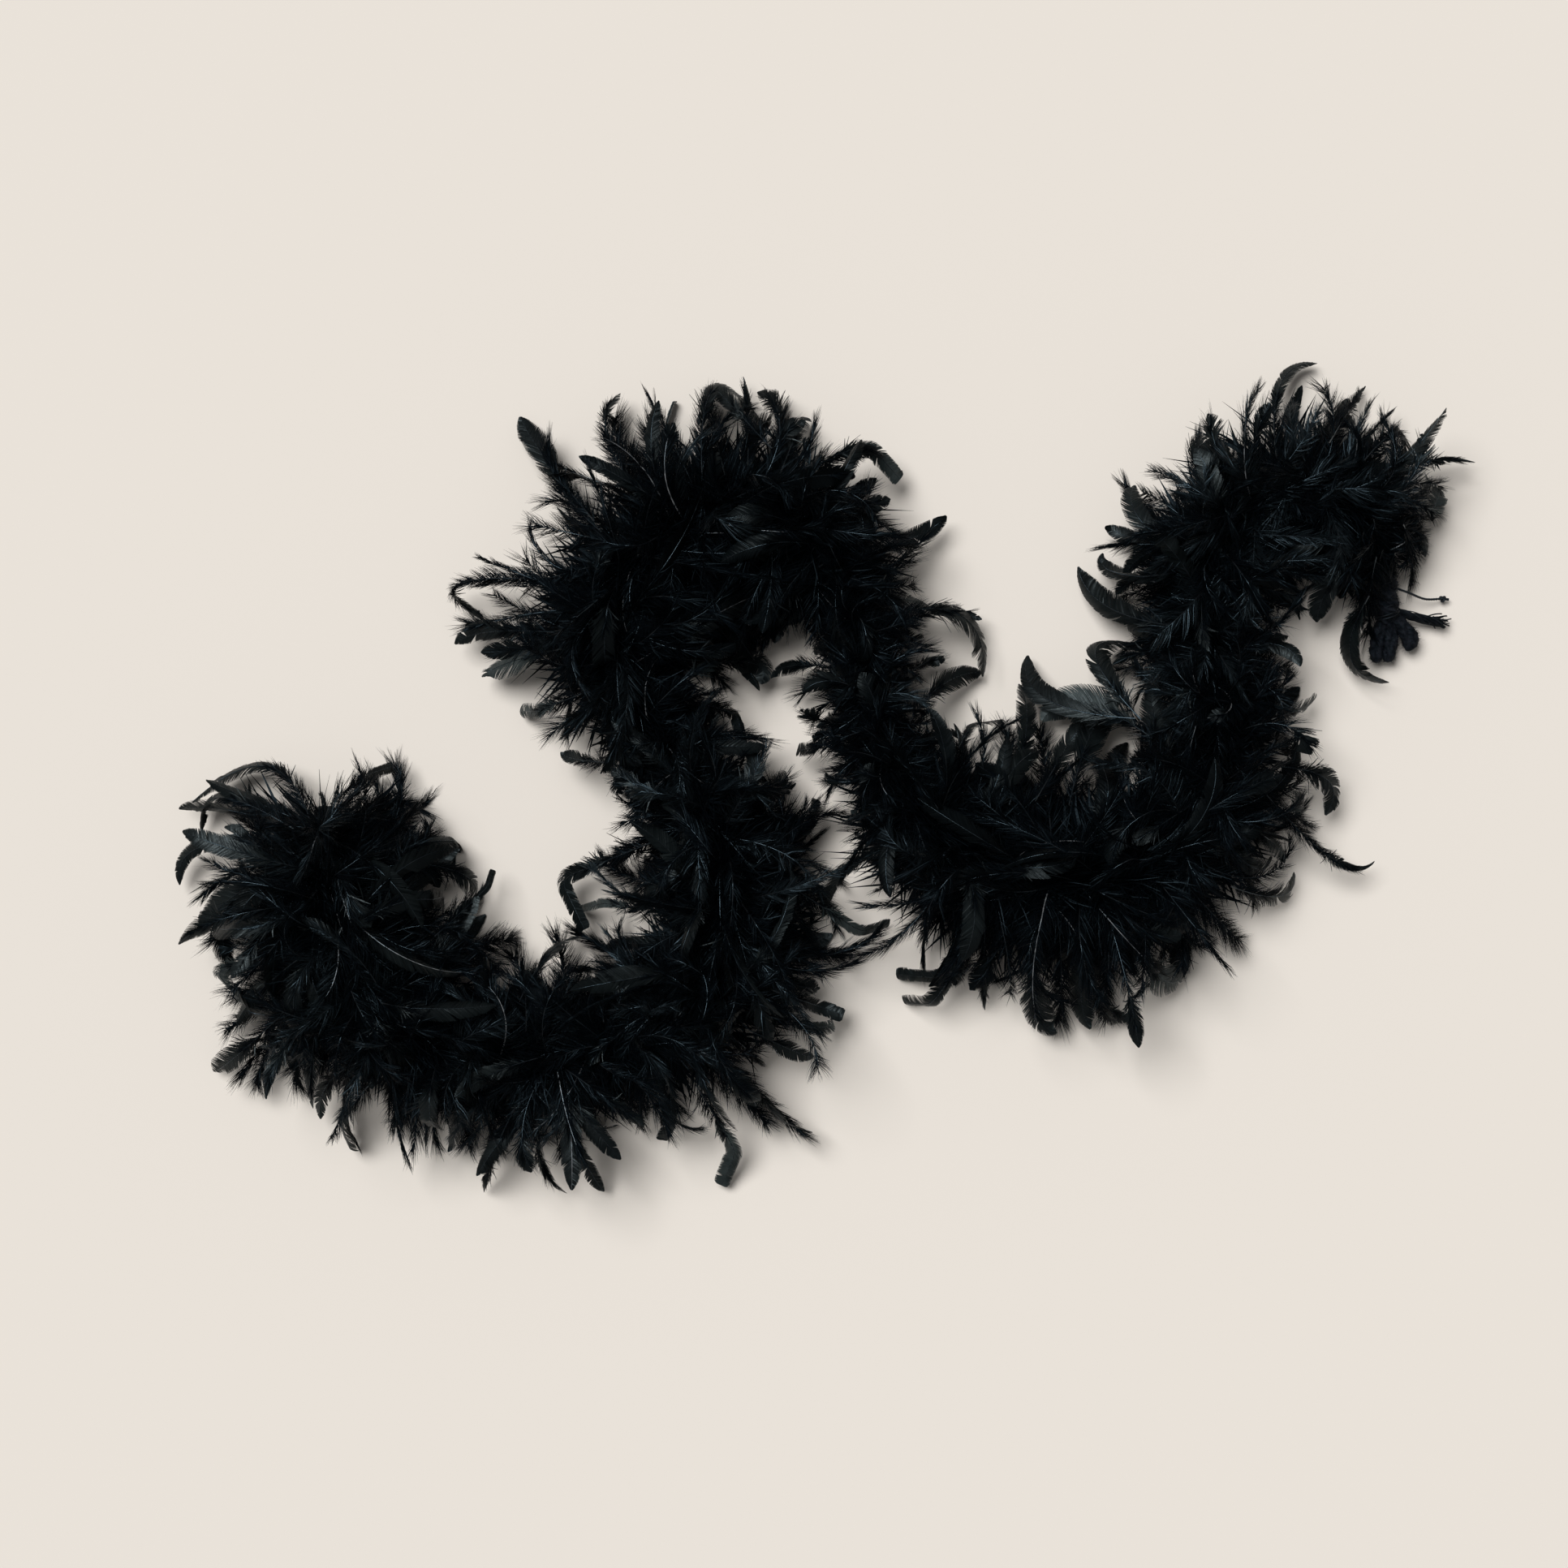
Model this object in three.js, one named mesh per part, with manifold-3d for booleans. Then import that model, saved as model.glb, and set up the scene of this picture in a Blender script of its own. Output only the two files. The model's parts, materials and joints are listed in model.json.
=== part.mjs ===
// A feather boa lying on a table in three loose bends, in millimetres, +Z up, the table at Z = 0.
// A core cord runs from end to end. A thread binding on the cord holds the quills of the feathers, which
// stand out round it in whorls. One end of the cord is knotted inside the feathers, and the other is whipped,
// bare and frayed. The boa bends at five places, where the cord is parted a little.
import * as THREE from "three";
import { mergeVertices } from "three/addons/utils/BufferGeometryUtils.js";
import Module from "manifold-3d";

const wasm = await Module();
wasm.setup();

// The cord and what is wound on it.
const cordRadius = 3;
const bindingGap = 0.6;
const bindingRadius = 5;
const roundSides = 8;
const stepAlongCord = 23;
const partingAtBend = 4;

// The feathers.
const whorlSpacing = 58;
const bladesInWhorl = 7;
const bladeThickness = 2.4;
const bladeWidth = 22;
const bladeLean = THREE.MathUtils.degToRad(18);
const bladeTwist = THREE.MathUtils.degToRad(52);
const bladeWander = THREE.MathUtils.degToRad(9);
const featherReachUp = 54;
const collarGap = 1.6;
const collarWall = 4;
const collarLength = 10;
const roomInsideBend = 0.7;
const restLength = 70;
const restWidth = 20;
const longFeatherSetOn = 26;

// The bare end.
const whippingRadius = 7.5;
const whippingLength = 36;
const whippingGap = 1.2;
const frayedRadius = 4;
const threadRadius = 1;
const tailKnotRadius = 3;
const startKnotRadius = 9;
const contactGap = 0.35;

// The core's route over the table: x, y, height, and how far the feathers reach to each side of it there.
const route = [
  [-360, -37, 40, 84],
  [-358, -86, 46, 90],
  [-342, -138, 46, 88],
  [-307, -182, 46, 74],
  [-255, -201, 44, 58],
  [-197, -201, 46, 76],
  [-142, -193, 46, 80],
  [-99, -167, 46, 86],
  [-74, -124, 46, 88],
  [-71, -77, 46, 84],
  [-84, -31, 46, 74],
  [-111, 13, 44, 58],
  [-138, 55, 46, 64],
  [-153, 100, 46, 86],
  [-144, 142, 46, 78],
  [-113, 177, 46, 76],
  [-70, 192, 46, 80],
  [-26, 182, 46, 76],
  [8, 149, 46, 66],
  [23, 103, 44, 52],
  [30, 56, 44, 46],
  [45, 7, 44, 56],
  [77, -38, 46, 70],
  [125, -67, 46, 84],
  [180, -77, 46, 90],
  [232, -63, 46, 86],
  [270, -25, 46, 76],
  [285, 24, 44, 66],
  [280, 74, 44, 60],
  [271, 120, 44, 60],
  [278, 164, 46, 68],
  [306, 195, 46, 76],
  [343, 208, 46, 80],
  [378, 190, 40, 62],
  [399, 152, 28, 40],
  [407, 112, 16, 20],
];

// The route's points where the boa bends, from the knotted end to the bare end.
const bendPoints = [4, 11, 20, 28, 33];

// Feathers that stand out far past the rest. Each is sewn in just after a whorl, and its tip is at x, y, z.
const longFeathers = [
  { name: "long_feather_left", afterWhorl: 1, tip: [-470, -72, 22] },
  { name: "long_feather_lower_left", afterWhorl: 6, tip: [-162, -302, 12] },
  { name: "long_feather_lower", afterWhorl: 7, tip: [-12, -257, 14] },
  { name: "long_feather_arch", afterWhorl: 14, tip: [-62, 291, 40] },
  { name: "long_feather_limb", afterWhorl: 16, tip: [113, 118, 60] },
  { name: "long_feather_lower_right", afterWhorl: 23, tip: [394, -62, 12] },
  { name: "long_feather_top", afterWhorl: 27, tip: [357, 302, 44] },
  { name: "long_feather_right", afterWhorl: 29, tip: [470, 226, 30] },
];

const black = { color: 0x08090a, roughness: 0.7, metalness: 0 };
const vaneBlack = { color: 0x0c0f10, roughness: 0.45, metalness: 0 };
const cordBlack = { color: 0x0b0b0c, roughness: 0.9, metalness: 0 };
const up = new THREE.Vector3(0, 0, 1);

const core = new THREE.CatmullRomCurve3(route.map(([x, y, z]) => new THREE.Vector3(x, y, z)));
const finePerPoint = 20;
core.arcLengthDivisions = (route.length - 1) * finePerPoint;
const fineLengths = core.getLengths();
const coreLength = core.getLength();
const lengthAtPoint = (index) => fineLengths[index * finePerPoint];

// How far the feathers reach to the side at a length along the core.
function sideReach(length) {
  let index = 1;
  while (index < route.length - 1 && lengthAtPoint(index) < length) index += 1;
  const before = lengthAtPoint(index - 1);
  const share = (length - before) / (lengthAtPoint(index) - before);
  return THREE.MathUtils.lerp(route[index - 1][3], route[index][3], THREE.MathUtils.clamp(share, 0, 1));
}

const tangentAt = (length) => core.getTangentAt(THREE.MathUtils.clamp(length / coreLength, 0, 1));
const pointAt = (length) => core.getPointAt(THREE.MathUtils.clamp(length / coreLength, 0, 1));

// The place on the core at a length along it: x to the left of the way along, y up, z along the core.
function placeAt(length) {
  const along = tangentAt(length).setZ(0).normalize();
  const left = new THREE.Vector3().crossVectors(up, along);
  return new THREE.Matrix4().makeBasis(left, up, along).setPosition(pointAt(length));
}

// Turn per millimetre to the left, negative to the right.
function bendAt(length) {
  const reach = 15;
  const before = tangentAt(length - reach);
  const after = tangentAt(length + reach);
  return Math.asin(THREE.MathUtils.clamp(before.x * after.y - before.y * after.x, -1, 1)) / (2 * reach);
}

// A steady value from 0 to 1 that looks random, for two whole numbers.
function wander(first, second) {
  const value = Math.sin(first * 12.9898 + second * 78.233) * 43758.5453;
  return value - Math.floor(value);
}

function solidFrom(geometry) {
  geometry.deleteAttribute("normal");
  geometry.deleteAttribute("uv");
  const merged = mergeVertices(geometry, 1e-4);
  const vertProperties = merged.attributes.position.array;
  const triVerts = Uint32Array.from(merged.index.array);
  return new wasm.Manifold(new wasm.Mesh({ numProp: 3, vertProperties, triVerts }));
}

function geometryFrom(solid) {
  const { vertProperties, triVerts } = solid.getMesh();
  const geometry = new THREE.BufferGeometry();
  geometry.setAttribute("position", new THREE.BufferAttribute(vertProperties, 3));
  geometry.setIndex(new THREE.BufferAttribute(triVerts, 1));
  return geometry;
}

const group = new THREE.Group();

function addPart(name, geometry, look) {
  const mesh = new THREE.Mesh(geometry, new THREE.MeshStandardMaterial(look));
  mesh.name = name;
  group.add(mesh);
  return mesh;
}

class CoreStretch extends THREE.Curve {
  constructor(start, end) {
    super();
    this.start = start;
    this.end = end;
  }

  getPoint(share, target = new THREE.Vector3()) {
    return target.copy(pointAt(THREE.MathUtils.lerp(this.start, this.end, share)));
  }
}

function roundSection(outerRadius, innerRadius = 0) {
  const section = new THREE.Shape().absarc(0, 0, outerRadius, 0, 2 * Math.PI);
  if (innerRadius) section.holes.push(new THREE.Path().absarc(0, 0, innerRadius, 0, 2 * Math.PI, true));
  return section;
}

// A round bar or sleeve along a path.
function barAlong(path, steps, outerRadius, innerRadius = 0) {
  const options = { steps, extrudePath: path, curveSegments: roundSides / 2, bevelEnabled: false };
  return new THREE.ExtrudeGeometry(roundSection(outerRadius, innerRadius), options);
}

function barOnCore(start, end, outerRadius, innerRadius = 0) {
  const steps = Math.max(1, Math.round((end - start) / stepAlongCord));
  return barAlong(new CoreStretch(start, end), steps, outerRadius, innerRadius);
}

// A feather's plain outline from its quill at startRadius to its tip, thin along z.
function bladeGeometry(startRadius, tipRadius, width) {
  const length = tipRadius - startRadius;
  const outline = new THREE.Shape([
    new THREE.Vector2(0, startRadius),
    new THREE.Vector2(width * 0.5, startRadius + length * 0.62),
    new THREE.Vector2(0, tipRadius),
    new THREE.Vector2(-width * 0.5, startRadius + length * 0.62),
  ]);
  const blade = new THREE.ExtrudeGeometry(outline, { depth: bladeThickness, bevelEnabled: false });
  return blade.translate(0, 0, -bladeThickness / 2);
}

// The ring of sewn quill ends that a whorl's feathers grow from.
function collarGeometry() {
  const inner = (bindingRadius + collarGap) / Math.cos(Math.PI / roundSides);
  const outer = inner + collarWall;
  const half = collarLength / 2;
  const profile = [
    new THREE.Vector2(inner, -half),
    new THREE.Vector2(outer, -half),
    new THREE.Vector2(outer, half),
    new THREE.Vector2(inner, half),
    new THREE.Vector2(inner, -half),
  ];
  return new THREE.LatheGeometry(profile, roundSides).rotateX(Math.PI / 2);
}

// How far a feather may reach in a direction round the core: a flattened round, cut by the table and by the
// room inside a bend.
function bladeReach(length, angle, height) {
  const side = Math.cos(angle);
  const rise = Math.sin(angle);
  let reach = 1 / Math.hypot(side / sideReach(length), rise / featherReachUp);
  if (rise < 0) reach = Math.min(reach, (height - bladeThickness) / -rise);
  const inward = side * Math.sign(bendAt(length));
  if (inward > 0) reach = Math.min(reach, roomInsideBend / Math.abs(bendAt(length)) / inward);
  return reach;
}

function whorlGeometry(number, length) {
  const place = placeAt(length);
  const height = pointAt(length).z;
  const quillStart = bindingRadius + collarGap + collarWall / 2;
  let solid = solidFrom(collarGeometry().applyMatrix4(place));
  for (let index = 0; index < bladesInWhorl; index += 1) {
    const straightDown = index === 0;
    const stray = straightDown ? 0 : (wander(number, index) - 0.5) * 2 * bladeWander;
    const angle = -Math.PI / 2 + (index / bladesInWhorl) * 2 * Math.PI + stray;
    const reach = straightDown ? height - bladeThickness / 2 : bladeReach(length, angle, height);
    const fullness = straightDown ? 1 : 0.86 + 0.14 * wander(index, number);
    const lean = straightDown ? 0 : -bladeLean;
    const twist = straightDown ? 0 : bladeTwist;
    const blade = bladeGeometry(quillStart, reach * fullness, bladeWidth);
    blade.rotateY(twist).rotateX(lean).rotateZ(angle - Math.PI / 2).applyMatrix4(place);
    solid = solid.add(solidFrom(blade));
  }
  return geometryFrom(solid.add(solidFrom(pressedFeathers(length))));
}

// The feathers that the boa lies on, pressed flat on the table under a whorl.
function pressedFeathers(length) {
  const outline = new THREE.Shape([
    new THREE.Vector2(-restLength / 2, 0),
    new THREE.Vector2(-restLength / 5, -restWidth / 2),
    new THREE.Vector2(restLength / 5, -restWidth / 2),
    new THREE.Vector2(restLength / 2, 0),
    new THREE.Vector2(restLength / 5, restWidth / 2),
    new THREE.Vector2(-restLength / 5, restWidth / 2),
  ]);
  const along = tangentAt(length);
  const foot = pointAt(length);
  const pressed = new THREE.ExtrudeGeometry(outline, { depth: bladeThickness, bevelEnabled: false });
  return pressed.rotateZ(Math.atan2(along.y, along.x) + Math.PI / 2).translate(foot.x, foot.y, 0);
}

// One long feather, flat, from beside the core to its tip.
function longFeatherGeometry(length, tip) {
  const root = pointAt(length);
  const away = new THREE.Vector3(...tip).sub(root);
  const reach = away.length();
  const outward = away.normalize();
  const across = new THREE.Vector3().crossVectors(outward, up).normalize();
  const facing = new THREE.Vector3().crossVectors(across, outward);
  const blade = bladeGeometry(bindingRadius + collarGap, reach, bladeWidth);
  return blade.applyMatrix4(new THREE.Matrix4().makeBasis(across, outward, facing).setPosition(root));
}

// The lengths where the parts of the boa between two bends start and end.
const sectionEnds = [0, ...bendPoints.map(lengthAtPoint), coreLength];
const bareLength = whippingLength + 12;
const whorlPlaces = [];

function addSection(index) {
  const first = index === 0;
  const last = index === bendPoints.length;
  const start = sectionEnds[index] + (first ? 0 : partingAtBend / 2);
  const end = sectionEnds[index + 1] - (last ? 0 : partingAtBend / 2);
  const boundEnd = last ? end - whippingLength - contactGap : end;
  const number = index + 1;
  addPart(`core_cord_${number}`, barOnCore(start, end, cordRadius), cordBlack);
  const binding = barOnCore(start, boundEnd, bindingRadius, cordRadius + bindingGap);
  addPart(`thread_binding_${number}`, binding, cordBlack);

  const coveredStart = sectionEnds[index];
  const covered = sectionEnds[index + 1] - (last ? bareLength : 0) - coveredStart;
  const count = Math.max(1, Math.round(covered / whorlSpacing));
  for (let step = 0; step < count; step += 1) {
    whorlPlaces.push(coveredStart + (covered * (step + 0.5)) / count);
    const whorl = whorlPlaces.length;
    const name = `feather_whorl_${String(whorl).padStart(2, "0")}`;
    addPart(name, whorlGeometry(whorl, whorlPlaces[whorl - 1]), black);
  }
}

// The cord's first end is tied in a knot inside the feathers.
function addStartKnot() {
  const knot = new THREE.SphereGeometry(startKnotRadius, roundSides, 6);
  const away = tangentAt(0).multiplyScalar(-startKnotRadius - contactGap);
  const centre = pointAt(0).add(away);
  addPart("start_knot", knot.translate(centre.x, centre.y, centre.z), cordBlack);
}

// The other end is whipped with thread, and its loose strands and a knotted thread come out to the side.
function addBareEnd() {
  const start = coreLength - whippingLength;
  const sleeve = barOnCore(start, coreLength - contactGap, whippingRadius, cordRadius + whippingGap);
  addPart("end_whipping", sleeve, cordBlack);

  const beside = whippingRadius + contactGap;
  const frayedRoot = pointAt(coreLength - 8).add(new THREE.Vector3(beside + frayedRadius, 0, -4));
  const frayedPath = new THREE.CatmullRomCurve3([
    frayedRoot,
    frayedRoot.clone().add(new THREE.Vector3(16, -3, -2)),
    frayedRoot.clone().add(new THREE.Vector3(34, -9, -5)),
  ]);
  addPart("frayed_cord_end", barAlong(frayedPath, 3, frayedRadius), cordBlack);

  const threadRoot = pointAt(coreLength - 26).add(new THREE.Vector3(beside + threadRadius, 0, 0));
  const threadPath = new THREE.CatmullRomCurve3([
    threadRoot,
    threadRoot.clone().add(new THREE.Vector3(10, -4, -6)),
    threadRoot.clone().add(new THREE.Vector3(22, -8, -14)),
    threadRoot.clone().add(new THREE.Vector3(34, -7, -17)),
  ]);
  addPart("thread_tail", barAlong(threadPath, 6, threadRadius), cordBlack);
  const knot = new THREE.SphereGeometry(tailKnotRadius, roundSides, 6);
  const knotCentre = threadPath.getPoint(1).add(threadPath.getTangent(1).multiplyScalar(tailKnotRadius + contactGap));
  addPart("thread_tail_knot", knot.translate(knotCentre.x, knotCentre.y, knotCentre.z), cordBlack);
}

// Three short tabs of cloth, folded back past the whipping.
function addEndTabs() {
  const tips = [
    [-12, -34, -8],
    [5, -37, -9],
    [21, -26, -9],
  ];
  const end = pointAt(coreLength);
  tips.forEach(([x, y, z], index) => {
    const tip = new THREE.Vector3(x, y, z);
    const outward = tip.clone().normalize();
    const across = new THREE.Vector3().crossVectors(outward, up).normalize();
    const facing = new THREE.Vector3().crossVectors(across, outward);
    const tab = bladeGeometry(whippingRadius, tip.length(), bladeWidth * 0.45);
    tab.applyMatrix4(new THREE.Matrix4().makeBasis(across, outward, facing).setPosition(end));
    addPart(`end_tab_${index + 1}`, tab, cordBlack);
  });
}

for (let index = 0; index <= bendPoints.length; index += 1) addSection(index);
for (const { name, afterWhorl, tip } of longFeathers) {
  const length = whorlPlaces[afterWhorl - 1] + longFeatherSetOn;
  addPart(name, longFeatherGeometry(length, tip), vaneBlack);
}
addStartKnot();
addBareEnd();
addEndTabs();

export default group;
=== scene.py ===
import json
import math

import bpy
import numpy as np
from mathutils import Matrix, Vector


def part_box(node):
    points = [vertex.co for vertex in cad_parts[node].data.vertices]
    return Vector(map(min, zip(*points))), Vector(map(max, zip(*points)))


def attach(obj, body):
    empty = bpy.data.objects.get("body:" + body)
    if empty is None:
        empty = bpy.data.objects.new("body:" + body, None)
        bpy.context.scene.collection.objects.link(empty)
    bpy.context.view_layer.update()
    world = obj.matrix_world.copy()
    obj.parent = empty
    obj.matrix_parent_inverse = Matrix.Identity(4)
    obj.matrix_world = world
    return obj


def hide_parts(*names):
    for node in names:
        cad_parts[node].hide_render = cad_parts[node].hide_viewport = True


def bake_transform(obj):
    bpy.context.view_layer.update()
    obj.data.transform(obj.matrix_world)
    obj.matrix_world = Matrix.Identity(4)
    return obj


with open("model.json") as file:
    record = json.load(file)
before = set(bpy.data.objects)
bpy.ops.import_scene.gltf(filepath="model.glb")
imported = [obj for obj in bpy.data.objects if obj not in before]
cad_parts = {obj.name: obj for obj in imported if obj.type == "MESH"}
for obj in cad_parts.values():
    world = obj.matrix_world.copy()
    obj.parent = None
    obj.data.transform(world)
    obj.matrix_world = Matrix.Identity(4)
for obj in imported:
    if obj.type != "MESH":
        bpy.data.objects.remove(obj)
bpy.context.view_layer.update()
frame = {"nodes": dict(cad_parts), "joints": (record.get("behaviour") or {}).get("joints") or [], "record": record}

# The core's route, as it lies, in millimetres: x, y, height, and how far the feathers reach to each side.
ROUTE = [
    (-360, -37, 40, 74),
    (-358, -86, 46, 90),
    (-342, -138, 46, 94),
    (-307, -182, 46, 80),
    (-255, -201, 44, 58),
    (-197, -201, 46, 78),
    (-142, -193, 46, 60),
    (-99, -167, 46, 86),
    (-74, -124, 46, 88),
    (-71, -77, 46, 84),
    (-84, -31, 46, 66),
    (-111, 13, 44, 50),
    (-138, 55, 46, 60),
    (-153, 100, 46, 86),
    (-144, 142, 46, 78),
    (-113, 177, 46, 76),
    (-70, 192, 46, 80),
    (-26, 182, 46, 76),
    (8, 149, 46, 58),
    (23, 103, 44, 42),
    (30, 56, 44, 38),
    (45, 7, 44, 46),
    (77, -38, 46, 80),
    (125, -67, 46, 94),
    (180, -77, 46, 96),
    (232, -63, 46, 90),
    (270, -25, 46, 76),
    (285, 24, 44, 66),
    (280, 74, 44, 60),
    (271, 120, 44, 60),
    (278, 164, 46, 68),
    (306, 195, 46, 76),
    (343, 208, 46, 80),
    (378, 190, 40, 62),
    (399, 152, 28, 40),
    (407, 112, 16, 20),
]
UP = np.array([0.0, 0.0, 1.0])


def unit(vector):
    return vector / np.maximum(np.linalg.norm(vector, axis=-1, keepdims=True), 1e-12)


def sides_of(ways):
    """A level direction and an upper one, both square to each of the ways."""
    side = unit(np.cross(UP, ways))
    return side, np.cross(ways, side)


def smooth_rows(knots, steps):
    """Rows of numbers that pass smoothly through the knots, with this many steps between two knots."""
    knots = np.array(knots, float)
    padded = np.vstack([2 * knots[0] - knots[1], knots, 2 * knots[-1] - knots[-2]])
    rows = []
    for a, b, c, d in zip(padded, padded[1:], padded[2:], padded[3:]):
        for t in np.linspace(0, 1, steps, endpoint=False):
            straight = (c - a) * t
            bowed = (2 * a - 5 * b + 4 * c - d) * t**2
            eased = (3 * b - a - 3 * c + d) * t**3
            rows.append(0.5 * (2 * b + straight + bowed + eased))
    return np.array([*rows, knots[-1]])


class Core:
    """The core's centreline, read by length along it."""

    def __init__(self, route):
        self.rows = smooth_rows(route, 24)
        steps = np.linalg.norm(np.diff(self.rows[:, :3], axis=0), axis=1)
        self.lengths = np.r_[0, np.cumsum(steps)]
        self.length = self.lengths[-1]

    def point(self, at):
        return np.array([np.interp(at, self.lengths, self.rows[:, k]) for k in range(3)])

    def reach(self, at):
        return np.interp(at, self.lengths, self.rows[:, 3])

    def along(self, at):
        return self.alongs(np.array([at]))[0]

    def nearest(self, point):
        """The length along the core at which it passes closest to a point."""
        return self.lengths[np.argmin(np.linalg.norm(self.rows[:, :2] - np.array(point)[:2], axis=1))]

    def points(self, places):
        return np.stack([np.interp(places, self.lengths, self.rows[:, k]) for k in range(3)], axis=-1)

    def alongs(self, places):
        gap = 0.004
        ahead = self.points(np.minimum(places + gap, self.length))
        away = ahead - self.points(np.maximum(places - gap, 0))
        away[..., 2] = 0
        return unit(away)


core = Core(np.array(ROUTE) / 1000)


# ---- camera

VIEW_WIDTH = 1.1206
VIEW_MIDDLE = (-0.0313, -0.0052)
CAMERA_HEIGHT = 2.2
FEATHER_HEIGHT = 0.05


def placed(name, data):
    """A new object in the scene, which holds this mesh, camera or light."""
    thing = bpy.data.objects.new(name, data)
    bpy.context.scene.collection.objects.link(thing)
    return thing


def make_camera():
    data = bpy.data.cameras.new("camera")
    data.sensor_width = 36
    data.lens = data.sensor_width * (CAMERA_HEIGHT - FEATHER_HEIGHT) / VIEW_WIDTH
    camera = placed("camera", data)
    camera.location = (*VIEW_MIDDLE, CAMERA_HEIGHT)
    bpy.context.scene.camera = camera


make_camera()


# ---- materials


def principled(name):
    material = bpy.data.materials.new(name)
    material.use_nodes = True
    shader = material.node_tree.nodes["Principled BSDF"]
    return material, material.node_tree, shader


def noise(tree, scale, detail=3.0):
    place = tree.nodes.new("ShaderNodeTexCoord")
    node = tree.nodes.new("ShaderNodeTexNoise")
    node.inputs["Scale"].default_value = scale
    node.inputs["Detail"].default_value = detail
    tree.links.new(place.outputs["Object"], node.inputs["Vector"])
    return node.outputs["Fac"]


def between(tree, share, low, high):
    """A colour or a number that drifts between two with a noise."""
    ramp = tree.nodes.new("ShaderNodeValToRGB")
    ramp.color_ramp.elements[0].position = 0.38
    ramp.color_ramp.elements[1].position = 0.64
    ramp.color_ramp.elements[0].color = (*low, 1)
    ramp.color_ramp.elements[1].color = (*high, 1)
    tree.links.new(share, ramp.inputs["Fac"])
    return ramp.outputs["Color"]


# Black dye throws back a slightly blue light, and a smooth vane a greyer one.
COLD_GLINT = (0.56, 0.82, 1.0)
GREY_GLINT = (0.80, 0.96, 1.0)


def dyed(name, dark, light, patch, rough, shine, bump=0.0, grain=900, glint=COLD_GLINT):
    """Dyed black keratin or fibre: its colour, roughness and grain drift a little over it."""
    material, tree, shader = principled(name)
    drift = noise(tree, 1 / patch)
    tree.links.new(between(tree, drift, dark, light), shader.inputs["Base Color"])
    fine = noise(tree, grain, 2.0)
    gloss = between(tree, fine, (rough - 0.08,) * 3, (rough + 0.08,) * 3)
    tree.links.new(gloss, shader.inputs["Roughness"])
    shader.inputs["Specular IOR Level"].default_value = shine
    shader.inputs["Specular Tint"].default_value = (*glint, 1)
    if bump:
        relief = tree.nodes.new("ShaderNodeBump")
        relief.inputs["Strength"].default_value = bump
        relief.inputs["Distance"].default_value = 0.0004
        tree.links.new(fine, relief.inputs["Height"])
        tree.links.new(relief.outputs["Normal"], shader.inputs["Normal"])
    return material


def vane_look(name, dark, light, patch, rough, shine):
    return dyed(name, dark, light, patch, rough, shine, 0.25, glint=GREY_GLINT)


def feather_looks():
    """The looks of a feather, in the order of the names below."""
    return [
        dyed("down", (0.0005, 0.0009, 0.0013), (0.0017, 0.0028, 0.0040), 0.018, 0.40, 0.085),
        # Glossier down for plumes on top: its extra gloss is real, and its lighter colour is painted sheen.
        dyed("sheen_painted_down", (0.0014, 0.0022, 0.0028), (0.0062, 0.0088, 0.0102), 0.012, 0.36, 0.26),
        vane_look("vane", (0.0012, 0.0018, 0.0021), (0.0046, 0.0066, 0.0070), 0.026, 0.40, 0.22),
        # Lighter grey-green vane: painted light shining through a thin vane.
        vane_look("lit_through_vane", (0.010, 0.014, 0.0145), (0.030, 0.038, 0.038), 0.015, 0.42, 0.22),
        dyed("quill", (0.003, 0.004, 0.005), (0.012, 0.013, 0.014), 0.011, 0.26, 0.6),
        # Pale grey quill: its colour is a painted glint along the quill.
        dyed("glint_painted_quill", (0.09, 0.095, 0.10), (0.26, 0.27, 0.28), 0.006, 0.24, 0.8),
        vane_look("dull_vane", (0.0006, 0.0010, 0.0013), (0.0022, 0.0034, 0.0040), 0.026, 0.42, 0.10),
    ]


DOWN, SHEEN_PAINTED_DOWN, VANE, LIT_THROUGH_VANE, QUILL, GLINT_PAINTED_QUILL, DULL_VANE = range(7)
feather_materials = feather_looks()
cord_material = dyed("cord", (0.0022, 0.0024, 0.0032), (0.0085, 0.0090, 0.0110), 0.004, 0.62, 0.18, 0.6, 1600)
thread_material = dyed(
    "thread", (0.0030, 0.0034, 0.0042), (0.0120, 0.0125, 0.0145), 0.003, 0.46, 0.34, 0.4, 2200
)
tab_material = dyed("tab", (0.0016, 0.0018, 0.0028), (0.0105, 0.0112, 0.0150), 0.0035, 0.66, 0.16, 1.0, 900)


# ---- strips and meshes


class Strips:
    """Gathers four-sided faces for one mesh."""

    def __init__(self):
        self.vertices = []
        self.faces = []
        self.materials = []
        self.count = 0

    def add_grid(self, points, material, closed=False):
        """Points of shape (many, stations, across, 3): each of the many is a skin of stations by across."""
        many, stations, across = points.shape[:3]
        index = self.count + np.arange(many * stations * across).reshape(many, stations, across)
        if closed:
            index = np.concatenate([index, index[:, :, :1]], axis=2)
        corners = [index[:, :-1, :-1], index[:, :-1, 1:], index[:, 1:, 1:], index[:, 1:, :-1]]
        faces = np.stack(corners, axis=-1).reshape(-1, 4)
        self.vertices.append(points.reshape(-1, 3))
        self.faces.append(faces)
        self.materials.append(np.full(len(faces), material))
        self.count += many * stations * across

    def build(self, name, materials):
        vertices = np.concatenate(self.vertices).astype(np.float32)
        faces = np.concatenate(self.faces).astype(np.int32)
        mesh = bpy.data.meshes.new(name)
        mesh.vertices.add(len(vertices))
        mesh.vertices.foreach_set("co", vertices.ravel())
        mesh.loops.add(faces.size)
        mesh.loops.foreach_set("vertex_index", faces.ravel())
        mesh.polygons.add(len(faces))
        mesh.polygons.foreach_set("loop_start", np.arange(0, faces.size, 4, dtype=np.int32))
        mesh.polygons.foreach_set("material_index", np.concatenate(self.materials).astype(np.int32))
        for material in materials:
            mesh.materials.append(material)
        mesh.update(calc_edges=True)
        mesh.shade_smooth()
        return placed(name, mesh)


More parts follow.
